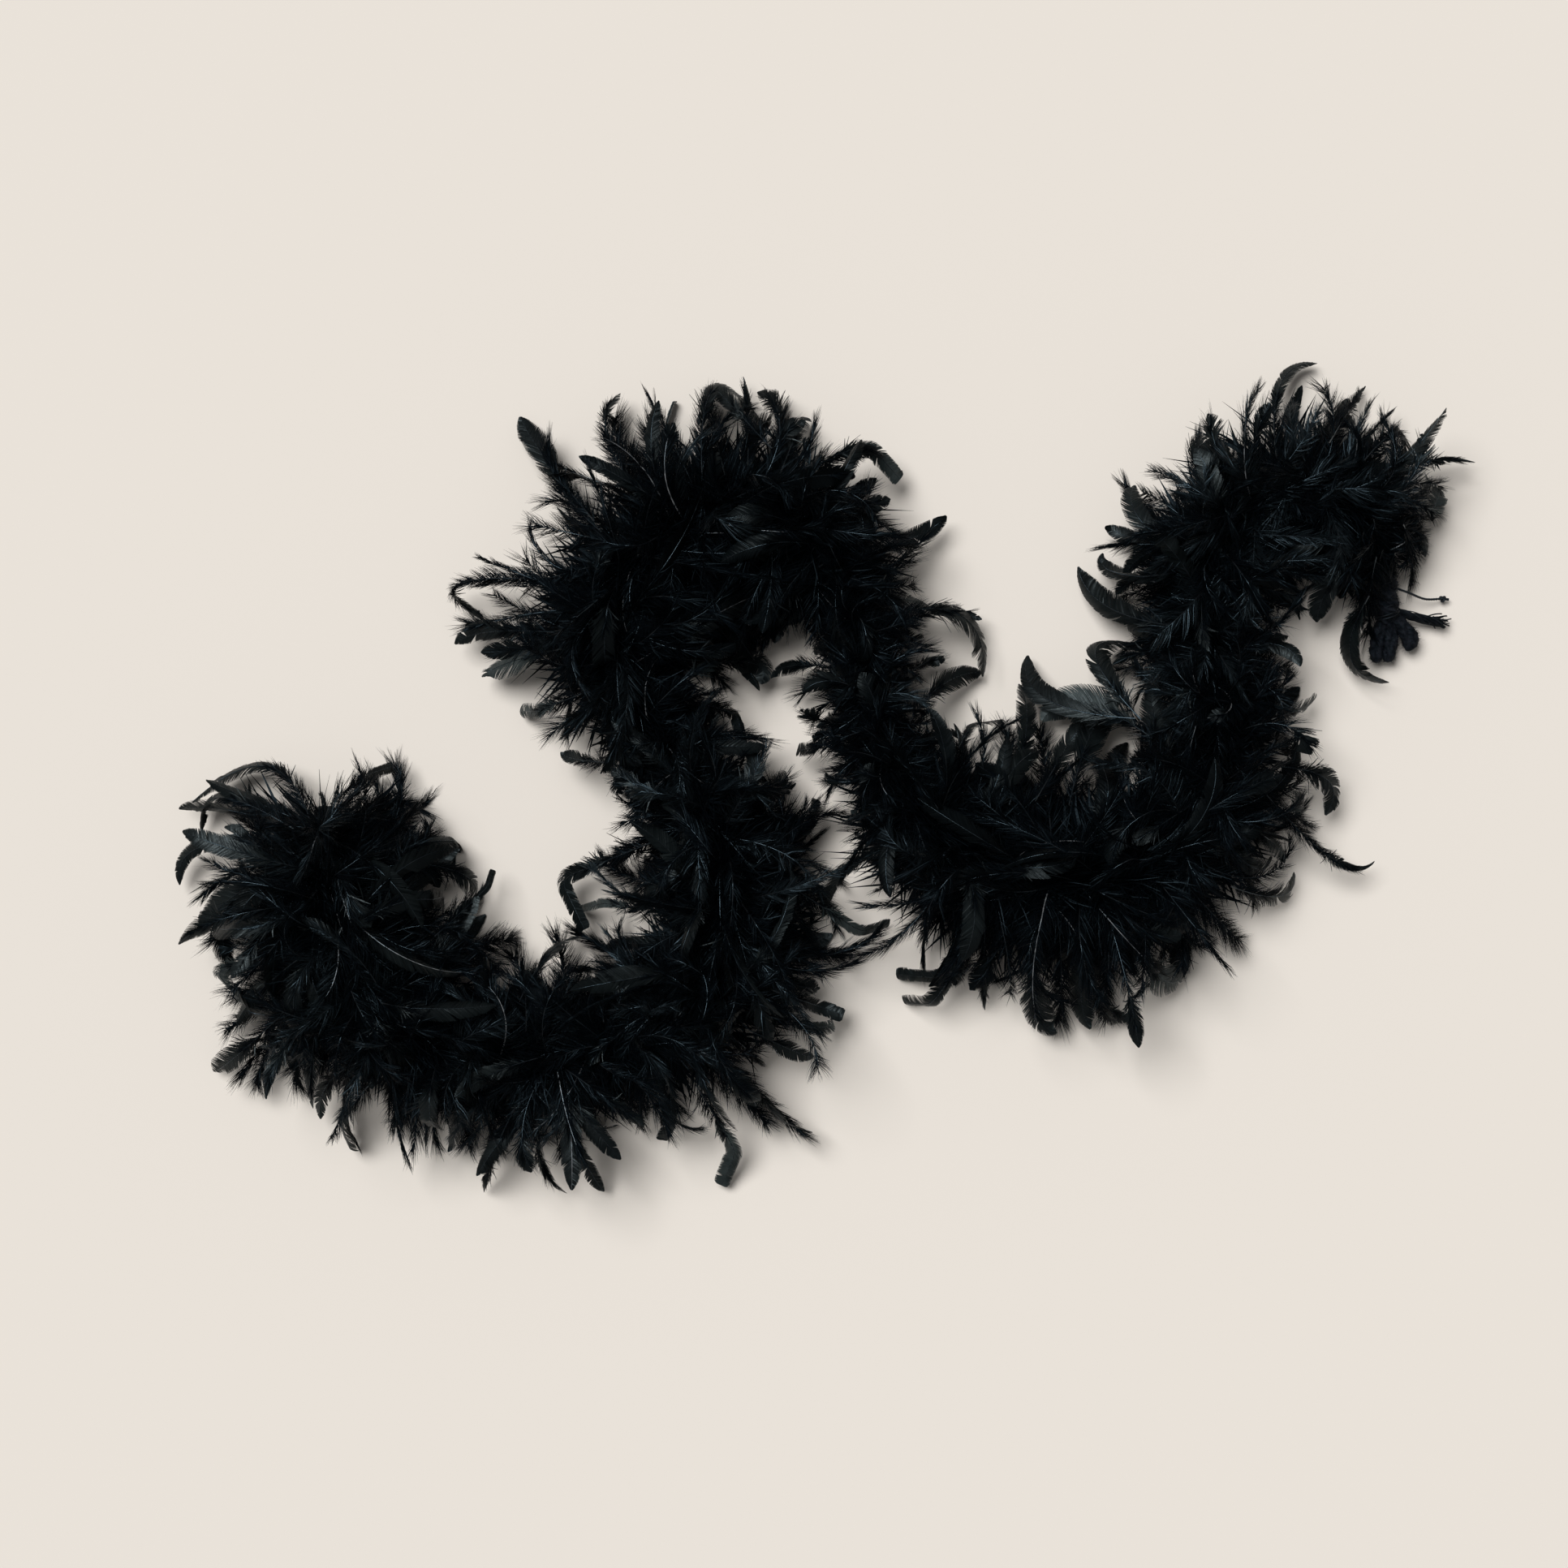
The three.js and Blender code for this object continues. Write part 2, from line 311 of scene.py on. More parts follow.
def ribbons(centres, across, widths):
    """Flat strips: centres (many, stations, 3), across (many, stations, 3) and widths (many, stations)."""
    offset = unit(across) * widths[..., None] / 2
    return np.stack([centres - offset, centres + offset], axis=2)


def straight_lines(roots, headings, reaches, t):
    return roots[:, None] + headings[:, None] * (reaches[:, None] * t)[..., None]


def turned_any_way(headings, stations, rng):
    """For each line a direction across it, drawn at random, the same at every station."""
    return np.repeat(np.cross(headings, rng.normal(0, 1, headings.shape))[:, None], stations, axis=1)


def carried(ways, first):
    """A direction square to each of the ways, carried along them without turning."""
    found = []
    for way in ways:
        first = unit(first - np.dot(first, way) * way)
        found.append(first)
    return np.array(found)


def tube(points, radii, first=UP, sides=6):
    """The skin of a round rod along points."""
    ways = unit(np.gradient(points, axis=0))
    face = carried(ways, np.array(first, float) + np.array([0.013, 0.021, 0.0]))
    side = np.cross(ways, face)
    turn = np.arange(sides) * 2 * np.pi / sides
    ring = face[:, None] * np.cos(turn)[None, :, None] + side[:, None] * np.sin(turn)[None, :, None]
    return (points[:, None] + ring * np.broadcast_to(radii, len(points))[:, None, None])[None]


# ---- feathers

LIFT = 0.0008
CEILING = 0.084
HIGHEST = 0.093
SPINE_STATIONS = 24
BARB_GAP = 0.00062
BARB_STATIONS = 4
DOWN_GAP = 0.00047
DOWN_WIDTH = 0.00050
SOFT_CEILING = 0.008


def kept_in(points):
    """Nothing goes into the table: what would is laid just over it. Nothing stands too high either."""
    height = points[..., 2]
    height = np.where(height < LIFT * 2, LIFT + LIFT * np.exp(np.minimum(height / LIFT - 2, 0)), height)
    over = np.maximum(height - HIGHEST, 0)
    points[..., 2] = np.where(over > 0, HIGHEST + SOFT_CEILING * (1 - np.exp(-over / SOFT_CEILING)), height)
    return points


class Quill:
    """A feather's quill: its points, its way, and where its face and side look, at each share of it."""

    def __init__(self, points, facing, twist=0.0):
        steps = np.linalg.norm(np.diff(points, axis=0), axis=1)
        self.length = steps.sum()
        self.shares = np.r_[0, np.cumsum(steps)] / self.length
        self.points = points
        self.alongs = unit(np.gradient(points, axis=0))
        face = carried(self.alongs, facing)
        side = np.cross(self.alongs, face)
        roll = (twist * self.shares)[:, None]
        self.faces = face * np.cos(roll) + side * np.sin(roll)

    def at(self, shares):
        def read(rows):
            return np.stack([np.interp(shares, self.shares, rows[:, k]) for k in range(3)], axis=-1)

        along = unit(read(self.alongs))
        face = read(self.faces)
        face = unit(face - np.sum(face * along, axis=-1, keepdims=True) * along)
        return read(self.points), along, face, np.cross(along, face)


def held_level(along, place, share, step):
    """A step's direction, kept from going into the table or too high."""
    low = LIFT * 2 + 0.0022 * (1 - share)
    slope = np.clip(along[2], (low - place[2]) / step, (CEILING - place[2]) / step)
    flat = math.hypot(along[0], along[1])
    level = math.sqrt(max(1 - slope**2, 0.0)) / max(flat, 1e-6)
    return unit(np.array([along[0] * level, along[1] * level, slope]))


def grown_spine(root, outward, face, length, droop, curl, sway, kink=None):
    """A quill's line, grown step by step: it droops, curls and may be kinked, and it lies on the table."""
    step = length / SPINE_STATIONS
    along = unit(outward)
    place = np.array(root, float)
    points = [place]
    for index in range(SPINE_STATIONS):
        share = (index + 0.5) / SPINE_STATIONS
        face = unit(face - np.dot(face, along) * along)
        bend = curl * 2 * share / SPINE_STATIONS
        if kink and abs(share - kink[0]) < 0.5 / SPINE_STATIONS + 1e-9:
            bend += kink[1]
        along = along - face * bend + np.cross(along, face) * sway * (0.4 + 1.2 * share) / SPINE_STATIONS
        along = unit(along - UP * droop * (0.25 + share) / SPINE_STATIONS)
        along = held_level(along, place, share, step)
        place = place + along * step
        points.append(place)
    return np.array(points)


def spine_through(root, middle, tip, folded=False):
    """A quill's line from root to tip by way of a middle point: an even bow, or a fold there."""
    t = np.linspace(0, 1, SPINE_STATIONS + 1)[:, None]
    if folded:
        before = root + (middle - root) * t / 0.55
        line = np.where(t < 0.55, before, middle + (tip - middle) * (t - 0.55) / 0.45)
        for _ in range(3):
            line[1:-1] = (line[:-2] + 2 * line[1:-1] + line[2:]) / 4
        return line
    handle = 2 * middle - (root + tip) / 2
    return root * (1 - t) ** 2 + 2 * handle * t * (1 - t) + tip * t**2


def add_quill(strips, quill, thickness, glint_painted=False):
    radii = thickness / 2 * np.clip(1 - quill.shares, 0, 1) ** 0.7 + 0.00008
    skin = tube(quill.points, radii, quill.faces[0], sides=4)
    # A quill with a painted glint takes the pale grey colour.
    strips.add_grid(skin, GLINT_PAINTED_QUILL if glint_painted else QUILL, closed=True)


def clumped(line, clump, pull):
    """Barbs that cling together: each leans towards the middle of its clump, more so at its tip."""
    count = np.bincount(clump)
    columns = line.reshape(len(line), -1).T
    total = np.stack([np.bincount(clump, weights=column) for column in columns], axis=-1)
    middle = (total / np.maximum(count, 1)[:, None]).reshape(-1, *line.shape[1:])[clump]
    t = np.linspace(0, 1, line.shape[1])[None, :, None]
    return line + (middle - line) * pull * t**1.3


def add_down(strips, quill, rng, start, end, length, density=1.0, material=DOWN, brushed=0.0):
    """Fluffy barbs in small clumps along a quill, swept to its tip. Brushed ones lie flatter."""
    pairs = max(int((end - start) * quill.length / DOWN_GAP * density), 3)
    shares = np.repeat(np.linspace(start, end, pairs), 2) + rng.normal(0, 0.004, 2 * pairs)
    many = len(shares)
    hand = np.tile([0, 1], pairs)
    clump = (np.cumsum(rng.uniform(0, 1, many) < 0.07) * 2) + hand
    clumps = int(clump.max()) + 1
    sign = (2.0 * hand - 1)[:, None]
    base, along, face, side = quill.at(np.clip(shares, 0, 1))
    middle = np.clip((shares - start) / (end - start), 0, 1)
    angle = 0.95 - 0.36 * brushed - 0.40 * middle
    angle = angle + rng.normal(0, 0.20 - 0.08 * brushed, clumps)[clump]
    angle = angle + rng.normal(0, 0.14 - 0.06 * brushed, many)
    lift = rng.normal(0.05, 0.42 - 0.24 * brushed, clumps)[clump] + rng.normal(0, 0.28 - 0.12 * brushed, many)
    reach = length * (1.15 - 0.45 * middle) * rng.uniform(0.8, 1.15, clumps)[clump]
    reach = reach * rng.uniform(0.65, 1.05, many)
    outward = side * sign * np.cos(lift)[:, None] + face * np.sin(lift)[:, None]
    heading = unit(along * np.cos(angle)[:, None] + outward * np.sin(angle)[:, None])
    t = np.linspace(0, 1, BARB_STATIONS)
    sweep = rng.uniform(0.1, 0.7, clumps)[clump] * reach
    line = straight_lines(base, heading, reach, t)
    line = line + along[:, None] * (sweep[:, None] * t**2 * 0.6)[..., None]
    wave_way = unit(np.cross(heading, rng.normal(0, 1, (many, 3))))
    wave_size = rng.uniform(0.0001, 0.0009, many)
    phase = rng.uniform(0, 6.28, many)
    wave = wave_size[:, None] * (np.sin(phase[:, None] + 7 * t) - np.sin(phase)[:, None])
    line = line + wave_way[:, None] * wave[..., None]
    line[..., 2] -= 0.14 * reach[:, None] * t**2
    line = clumped(line, clump, 0.30)
    across = turned_any_way(heading, BARB_STATIONS, rng)
    widths = DOWN_WIDTH * (1 - 0.88 * t**1.3)[None] * rng.uniform(0.7, 1.3, (many, 1))
    strips.add_grid(kept_in(ribbons(line, across, widths)), material)


def vane_outline(share, shape):
    """The half-width of a vane along its length, as a share of the widest."""
    if shape == "strap":
        return np.interp(share, [0, 0.15, 0.5, 0.96, 1.0], [0.45, 0.85, 1.0, 0.92, 0.70])
    if shape == "spike":
        return np.interp(share, [0, 0.25, 0.6, 1.0], [0.8, 1.0, 0.62, 0.05])
    if shape in ("sickle", "blade"):
        return np.interp(share, [0, 0.2, 0.55, 0.8, 0.93, 1.0], [0.45, 0.72, 1.0, 0.82, 0.46, 0.06])
    return np.interp(share, [0, 0.2, 0.5, 0.75, 0.9, 1.0], [0.4, 0.75, 1.0, 0.88, 0.55, 0.08])


def add_vane(strips, quill, rng, start, half_width, shape, camber=0.25, splits=4, material=VANE):
    """A feather's flat upper part: slanting barbs that end on its outline, parted here and there."""
    per_side = max(int((1 - start) * quill.length / BARB_GAP), 10)
    slant = min(1.15 * half_width / ((1 - start) * quill.length), 0.42)
    t = np.linspace(0, 1, BARB_STATIONS)
    uneven = rng.uniform(0.72, 1.0)
    for hand, share_of_width in ((1.0, 1.0), (-1.0, uneven)):
        part = np.linspace(0, 0.985, per_side)
        cuts = np.sort(rng.uniform(0.05, 1, splits + 2))
        group = np.searchsorted(cuts, part)
        groups = splits + 3
        ends = part + slant * (1 - part**2) * (1 + rng.normal(0, 0.16, groups)[group])
        ends = np.minimum(ends, 1.0)
        lift = rng.normal(0, 0.13, groups)[group] + rng.normal(0, 0.03, per_side)
        short = 1 - np.abs(rng.normal(0, 0.07, groups))[group] - np.abs(rng.normal(0, 0.03, per_side))
        reach = half_width * share_of_width * vane_outline(ends, shape) * short
        shares = start + (1 - start) * (part[:, None] + (ends - part)[:, None] * t)
        base, along, face, side = quill.at(shares.ravel())
        shape_of_rows = (per_side, BARB_STATIONS, 3)
        base, along, face, side = (rows.reshape(shape_of_rows) for rows in (base, along, face, side))
        out = (reach[:, None] * t**0.92)[..., None]
        lift = lift[:, None, None]
        line = base + side * hand * out * np.cos(lift) + face * out * np.sin(lift)
        line = line - face * out * (camber * t)[None, :, None]
        loose = np.clip(0.2 - part, 0, 1)[:, None] * 0.02
        line = line + rng.normal(0, 1, (per_side, 1, 3)) * (loose * t**2)[..., None]
        tilt = rng.normal(0, 0.14, (per_side, 1, 1))
        ways = unit(np.gradient(line, axis=1))
        across = np.cross(ways, face) + face * tilt
        spacing = (1 - start) * quill.length / per_side
        lean = np.clip(np.linalg.norm(np.cross(ways, along), axis=-1), 0.25, 1)
        widths = spacing * (2.3 if shape == "blade" else 1.6) * lean * (1 - 0.6 * t**6)[None]
        strips.add_grid(kept_in(ribbons(line, across, widths)), material)


# For each kind of feather: the share of the quill that its down ends at, the share that its vane starts at,
# and how far its down is brushed flat.
FEATHER_KINDS = {
    "fluff": (0.98, None, 0.0),
    "brush": (0.99, None, 0.9),
    "plume": (0.86, 0.68, 0.6),
    "sickle": (0.54, 0.36, 0.6),
    "blade": (0.26, 0.10, 0.8),
    "leaf": (0.48, 0.30, 0.4),
    "strap": (0.50, 0.34, 0.5),
    "spike": (0.84, 0.60, 0.8),
}


def add_feather(
    strips, rng, quill, kind, half_width, down_length, material=VANE, down=DOWN, glint_painted=False, density=1.0
):
    down_end, vane_start, brushed = FEATHER_KINDS[kind]
    add_quill(strips, quill, 0.0011, glint_painted)
    add_down(strips, quill, rng, 0.06, down_end, down_length, density, down, brushed)
    if vane_start:
        splits = 1 if kind == "blade" else int(rng.integers(2, 6))
        add_vane(strips, quill, rng, vane_start, half_width, kind, rng.uniform(0.05, 0.4), splits, material)


# ---- single feathers, as they lie

# Kind, root, the middle of the bow or the fold, tip, and the vane's width, in millimetres.
SINGLE_FEATHERS = [
    ("strap", (-350, -10), (-333, 1), (-316, 8), 10),
    ("sickle", (-368, -43), (-403, 7), (-461, -19), 19),
    ("sickle", (-391, -37), (-438, -15), (-456, -40), 18),
    ("leaf", (-388, -66), (-423, -83), (-456, -113), 26),
    ("strap", (-412, -130), (-440, -141), (-423, -164), 13),
    ("sickle", (-392, -135), (-412, -158), (-429, -181), 18),
    ("sickle", (-406, -177), (-423, -199), (-447, -215), 20),
    ("sickle", (-278, -60), (-260, -72), (-260, -95), 20),
    ("strap", (-249, -95), (-245, -80), (-242, -67), 6),
    ("fluff", (-304, -60), (-293, -48), (-289, -35), 0),
    ("sickle", (-183, 195), (-204, 230), (-224, 263), 22),
    ("plume", (-156, 230), (-160, 253), (-150, 278), 15),
    ("strap", (-35, 256), (-81, 281), (-95, 258), 13),
    ("strap", (-30, 230), (-22, 248), (-16, 262), 12),
    ("strap", (-8, 239), (32, 237), (53, 215), 14),
    ("leaf", (41, 166), (67, 175), (86, 189), 14),
    ("sickle", (30, 111), (94, 117), (113, 72), 24),
    ("sickle", (70, 42), (84, 67), (113, 76), 19),
    ("leaf", (35, 127), (53, 128), (73, 125), 15),
    ("leaf", (-217, 102), (-244, 104), (-270, 96), 18),
    ("leaf", (-209, 88), (-232, 82), (-249, 72), 22),
    ("strap", (-191, 52), (-209, 47), (-224, 48), 12),
    ("sickle", (-174, -2), (-183, 13), (-193, 18), 13),
    ("strap", (-146, -57), (-193, -74), (-175, -111), 15),
    ("strap", (-146, -95), (-162, -91), (-181, -97), 9),
    ("leaf", (-220, -135), (-197, -124), (-173, -117), 13),
    ("sickle", (-345, -216), (-360, -222), (-367, -248), 15),
    ("strap", (-336, -234), (-351, -248), (-346, -271), 15),
    ("leaf", (-266, -240), (-269, -257), (-275, -272), 17),
    ("spike", (-221, -251), (-241, -274), (-250, -303), 9),
    ("strap", (-81, -240), (-66, -271), (-77, -298), 15),
    ("leaf", (-38, -193), (-20, -199), (-10, -201), 15),
    ("leaf", (-23, -182), (-6, -180), (3, -175), 13),
    ("strap", (-20, -160), (-3, -167), (12, -172), 12),
    ("strap", (-6, -74), (24, -112), (46, -106), 11),
    ("strap", (104, -126), (81, -145), (50, -144), 11),
    ("strap", (104, -129), (75, -164), (56, -165), 13),
    ("spike", (104, -124), (113, -144), (115, -170), 8),
    ("leaf", (140, -144), (153, -170), (166, -184), 26),
    ("plume", (180, -161), (203, -167), (222, -175), 11),
    ("leaf", (223, -138), (244, -147), (259, -139), 26),
    ("sickle", (304, -95), (328, -86), (339, -69), 22),
    ("leaf", (313, -42), (325, -51), (332, -63), 13),
    ("leaf", (336, 4), (360, -3), (360, -28), 19),
    ("strap", (331, 42), (343, 49), (354, 56), 14),
    ("strap", (336, 45), (328, 56), (313, 62), 9),
    ("blade", (374, 127), (378, 86), (406, 68), 21),
    ("spike", (360, 253), (377, 265), (393, 285), 12),
    ("sickle", (389, 238), (412, 248), (418, 222), 24),
    ("strap", (412, 200), (438, 193), (446, 209), 15),
    ("sickle", (258, 207), (266, 236), (291, 236), 22),
    ("blade", (227, 105), (200, 124), (182, 153), 19),
    ("leaf", (212, 140), (204, 149), (200, 162), 13),
    ("leaf", (241, 155), (220, 172), (201, 181), 14),
    ("blade", (183, 36), (157, 56), (146, 89), 20),
    ("blade", (189, 36), (193, 91), (239, 93), 22),
    ("leaf", (223, 21), (189, 52), (155, 40), 29),
    ("leaf", (237, -5), (238, 30), (235, 68), 26),
    ("leaf", (140, 1), (143, 36), (140, 68), 18),
    ("strap", (101, 16), (104, 38), (128, 42), 11),
    ("leaf", (157, -27), (133, -10), (112, -21), 33),
    ("leaf", (229, -82), (249, -70), (275, -69), 20),
    ("leaf", (-162, -163), (-157, -144), (-136, -137), 22),
    ("strap", (-123, -161), (-121, -179), (-114, -194), 15),
    ("leaf", (-155, 32), (-139, 30), (-128, 11), 26),
    ("leaf", (-46, -16), (-36, -5), (-30, 4), 15),
    ("strap", (-12, -51), (-10, -31), (-8, -16), 9),
    ("strap", (-76, 65), (-65, 45), (-59, 15), 10),
    ("sickle", (-67, 91), (-53, 82), (-48, 67), 20),
    ("leaf", (-16, 77), (-29, 79), (-41, 71), 13),
    ("strap", (0, 23), (-12, 20), (-22, 19), 12),
    ("leaf", (14, 63), (22, 82), (34, 89), 17),
    ("plume", (57, 65), (70, 82), (85, 84), 10),
    ("plume", (-186, 126), (-128, 123), (-74, 90), 13),
    ("fluff", (-128, 195), (-99, 149), (-70, 111), 0),
    ("plume", (-145, 184), (-128, 137), (-99, 103), 13),
    ("fluff", (-35, 195), (-46, 149), (-52, 108), 0),
    ("plume", (-12, 161), (-29, 126), (-38, 97), 13),
    ("fluff", (-93, 207), (-81, 155), (-81, 120), 0),
    ("fluff", (-174, 149), (-145, 114), (-110, 91), 0),
    ("plume", (-244, 149), (-267, 137), (-249, 114), 11),
    ("fluff", (-220, 91), (-244, 108), (-261, 111), 0),
    ("fluff", (-162, 161), (-110, 149), (-55, 123), 0),
    ("fluff", (-151, 137), (-104, 120), (-61, 91), 0),
    ("fluff", (-151, 114), (-110, 97), (-75, 68), 0),
    ("fluff", (-139, 184), (-93, 155), (-61, 137), 0),
    ("fluff", (-6, 149), (-35, 126), (-55, 91), 0),
    ("fluff", (0, 172), (-35, 155), (-67, 126), 0),
    ("fluff", (-70, 230), (-70, 178), (-67, 132), 0),
    ("fluff", (-99, 230), (-93, 172), (-87, 114), 0),
    ("leaf", (-93, 126), (-70, 97), (-49, 62), 18),
    ("fluff", (-267, -112), (-249, -121), (-229, -118), 0),
    ("fluff", (389, 184), (397, 161), (401, 140), 0),
    ("fluff", (418, 184), (422, 161), (425, 142), 0),
    ("fluff", (377, 172), (383, 149), (389, 126), 0),
    ("brush", (-371, -60), (-418, -66), (-452, -86), 0),
    ("brush", (-365, -89), (-406, -100), (-444, -118), 0),
    ("fluff", (-360, -118), (-394, -141), (-432, -161), 0),
    ("brush", (-348, -37), (-319, -19), (-293, -25), 0),
    ("brush", (-342, -141), (-360, -176), (-365, -211), 0),
    ("fluff", (-139, 149), (-99, 120), (-75, 97), 0),
    ("brush", (-110, 184), (-81, 137), (-61, 103), 0),
    ("brush", (93, -71), (75, -100), (70, -135), 0),
    ("brush", (-70, 195), (-55, 149), (-55, 106), 0),
    ("brush", (-17, 184), (-32, 137), (-46, 97), 0),
    ("fluff", (-93, 149), (-75, 123), (-55, 100), 0),
    ("leaf", (174, 10), (191, 33), (212, 55), 24),
    ("strap", (157, 10), (174, 24), (190, 45), 18),
    ("fluff", (-371, -147), (-406, -164), (-436, -184), 0),
    ("fluff", (-371, -100), (-412, -100), (-444, -112), 0),
    ("brush", (-360, -129), (-400, -132), (-432, -141), 0),
    ("brush", (-383, -164), (-406, -193), (-423, -216), 0),
    ("fluff", (-81, -71), (-52, -77), (-26, -89), 0),
    ("fluff", (-81, -129), (-52, -141), (-26, -150), 0),
    ("brush", (-70, -31), (-46, -37), (-20, -51), 0),
    ("fluff", (-133, 195), (-148, 230), (-154, 262), 0),
    ("fluff", (-116, 195), (-128, 230), (-128, 260), 0),
    ("brush", (-174, 184), (-191, 207), (-202, 239), 0),
    ("fluff", (-70, 207), (-81, 248), (-86, 277), 0),
    ("fluff", (-35, 207), (-32, 242), (-35, 268), 0),
    ("fluff", (-371, -153), (-400, -193), (-412, -225), 0),
    ("fluff", (-360, -164), (-380, -199), (-383, -225), 0),
    ("brush", (-336, -193), (-348, -228), (-345, -263), 0),
    ("fluff", (-319, -193), (-313, -228), (-313, -254), 0),
    ("fluff", (-232, -187), (-220, -222), (-220, -263), 0),
    ("fluff", (-186, -193), (-186, -228), (-191, -274), 0),
    ("fluff", (-267, -187), (-261, -222), (-261, -269), 0),
    ("fluff", (-215, -170), (-220, -147), (-229, -129), 0),
    ("fluff", (-186, -170), (-191, -135), (-197, -115), 0),
    ("brush", (-139, -129), (-162, -124), (-183, -112), 0),
    ("fluff", (-128, -83), (-145, -71), (-165, -60), 0),
    ("brush", (-46, -112), (-6, -129), (38, -112), 0),
    ("fluff", (-52, -118), (-17, -124), (12, -132), 0),
    ("brush", (-81, -193), (-52, -228), (-17, -258), 0),
    ("fluff", (-93, -199), (-64, -228), (-43, -251), 0),
    ("fluff", (162, -100), (168, -141), (168, -179), 0),
    ("fluff", (197, -100), (200, -141), (203, -176), 0),
    ("leaf", (186, -124), (183, -155), (191, -183), 22),
    ("fluff", (249, -71), (278, -100), (299, -118), 0),
    ("fluff", (139, -31), (133, 4), (131, 33), 0),
    ("fluff", (162, -25), (157, 10), (154, 36), 0),
    ("fluff", (23, 56), (6, 65), (-6, 74), 0),
    ("fluff", (386, 155), (390, 129), (393, 103), 0),
    ("fluff", (394, 161), (396, 142), (398, 121), 0),
    ("fluff", (406, 161), (408, 149), (413, 135), 0),
    ("sickle", (-93, 230), (-81, 280), (-43, 253), 18),
]

# A vane's half-width, in metres, for each millimetre of its width in the rows.
HALF_WIDTH = 0.00055

# The long ones that stand out most, each its own piece.
LONG_FEATHERS = {
    "long_feather_left": ("sickle", (-389, -55), (-450, -50), (-470, -79), 13),
    "long_feather_lower_left": ("sickle", (-192, -246), (-174, -280), (-162, -302), 13),
    "long_feather_lower": ("strap", (-52, -226), (-30, -250), (-12, -258), 11),
    "long_feather_arch": ("spike", (-56, 236), (-58, 268), (-61, 291), 8),
    "long_feather_limb": ("plume", (35, 104), (76, 118), (112, 114), 9),
    "long_feather_lower_right": ("spike", (330, -18), (366, -60), (397, -61), 9),
    "long_feather_top": ("sickle", (316, 238), (328, 284), (357, 301), 13),
    "long_feather_right": ("spike", (400, 206), (430, 226), (470, 228), 8),
}


def in_metres(place):
    return (place[0] / 1000, place[1] / 1000)


def laid_quill(root, middle, tip, rng, folded=False, high=0.062, unevenness=0.27):
    """A single feather's quill: it leaves the mass high up and comes down to the table at its tip."""
    heights = (high, rng.uniform(0.36, 0.62) * high, rng.uniform(0.08, 0.45) * high)
    places = [np.array([*in_metres(place), height]) for place, height in zip((root, middle, tip), heights)]
    inside = core.point(core.nearest(in_metres(root)))
    places[0][:2] += 0.35 * (inside[:2] - places[0][:2])
    facing = UP + rng.normal(0, unevenness, 3)
    return Quill(spine_through(*places, folded), facing, rng.normal(0, 1.3 * unevenness))


def add_single(strips, row, rng):
    kind, root, middle, tip, width = row
    unevenness = 0.10 if kind == "blade" else 0.27
    quill = laid_quill(root, middle, tip, rng, folded=kind == "strap", unevenness=unevenness)
    # Some straps and leaves take the lighter vane colour, which is painted light shining through.
    material = LIT_THROUGH_VANE if kind in ("strap", "leaf") and rng.uniform() < 0.35 else VANE
    down_length = rng.uniform(0.018, 0.024) if kind in ("fluff", "brush") else rng.uniform(0.012, 0.017)
    density = 2.3 if kind == "fluff" else 1.8
    add_feather(strips, rng, quill, kind, width * HALF_WIDTH, down_length, material, density=density)


# ---- whorls

NODES = frame["nodes"]
BODY_NODES = frame["record"]["behaviour"]["bodies"]
BODY_OF_NODE = {node: body for body, nodes in BODY_NODES.items() for node in nodes}
WHORLS = sorted(node for node in NODES if node.startswith("feather_whorl"))
FEATHERS_IN_WHORL = 32
WHORL_SPREAD = 0.062
# How common each kind of feather is in a whorl.
KIND_SHARES = {
    "fluff": 0.38,
    "brush": 0.27,
    "plume": 0.14,
    "sickle": 0.08,
    "leaf": 0.06,
    "strap": 0.04,
    "spike": 0.03,
}
# The stretches of the core, in metres along it, whose feathers are duller than the rest.
DULL_STRETCHES = [(0.64, 0.97), (1.02, 1.42)]
BLEND_HALF = 0.055
NEAR_A_BEND = 0.75 * WHORL_SPREAD
CORE_FLUFF_BARBS = 1300
UNDER_DOWN_BARBS = 230
UNDER_DOWN_STATIONS = 5


def middle_of(node):
    low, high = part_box(node)
    return (np.array(low) + np.array(high)) / 2


WHORL_PLACES = {node: core.nearest(middle_of(node)) for node in WHORLS}


def add_core_fluff(strips, at, spread, rng):
    """Short dense down all round the core, which hides it."""
    many = CORE_FLUFF_BARBS
    place = at + rng.uniform(-0.5, 0.5, many) * spread
    root, along = core.points(place), core.alongs(place)
    side = np.cross(UP, along)
    turn = rng.uniform(-math.pi / 2, 1.5 * math.pi, many)
    radial = side * np.cos(turn)[:, None] + UP * np.sin(turn)[:, None]
    heading = unit(radial + along * rng.normal(0, 0.7, many)[:, None])
    reach = rng.uniform(0.36, 0.74, many) * core.reach(place)
    t = np.linspace(0, 1, BARB_STATIONS)
    line = straight_lines(root, heading, reach, t)
    wave_way = unit(np.cross(heading, rng.normal(0, 1, (many, 3))))
    wave = 0.003 * np.sin(rng.uniform(0, 6.28, many)[:, None] + 6 * t) * t
    line = line + wave_way[:, None] * wave[..., None]
    line[..., 2] -= 0.30 * reach[:, None] * t**2
    across = turned_any_way(heading, BARB_STATIONS, rng)
    widths = 0.0014 * (1 - 0.85 * t**1.4)[None] * np.ones((many, 1))
    strips.add_grid(kept_in(ribbons(line, across, widths)), DOWN)


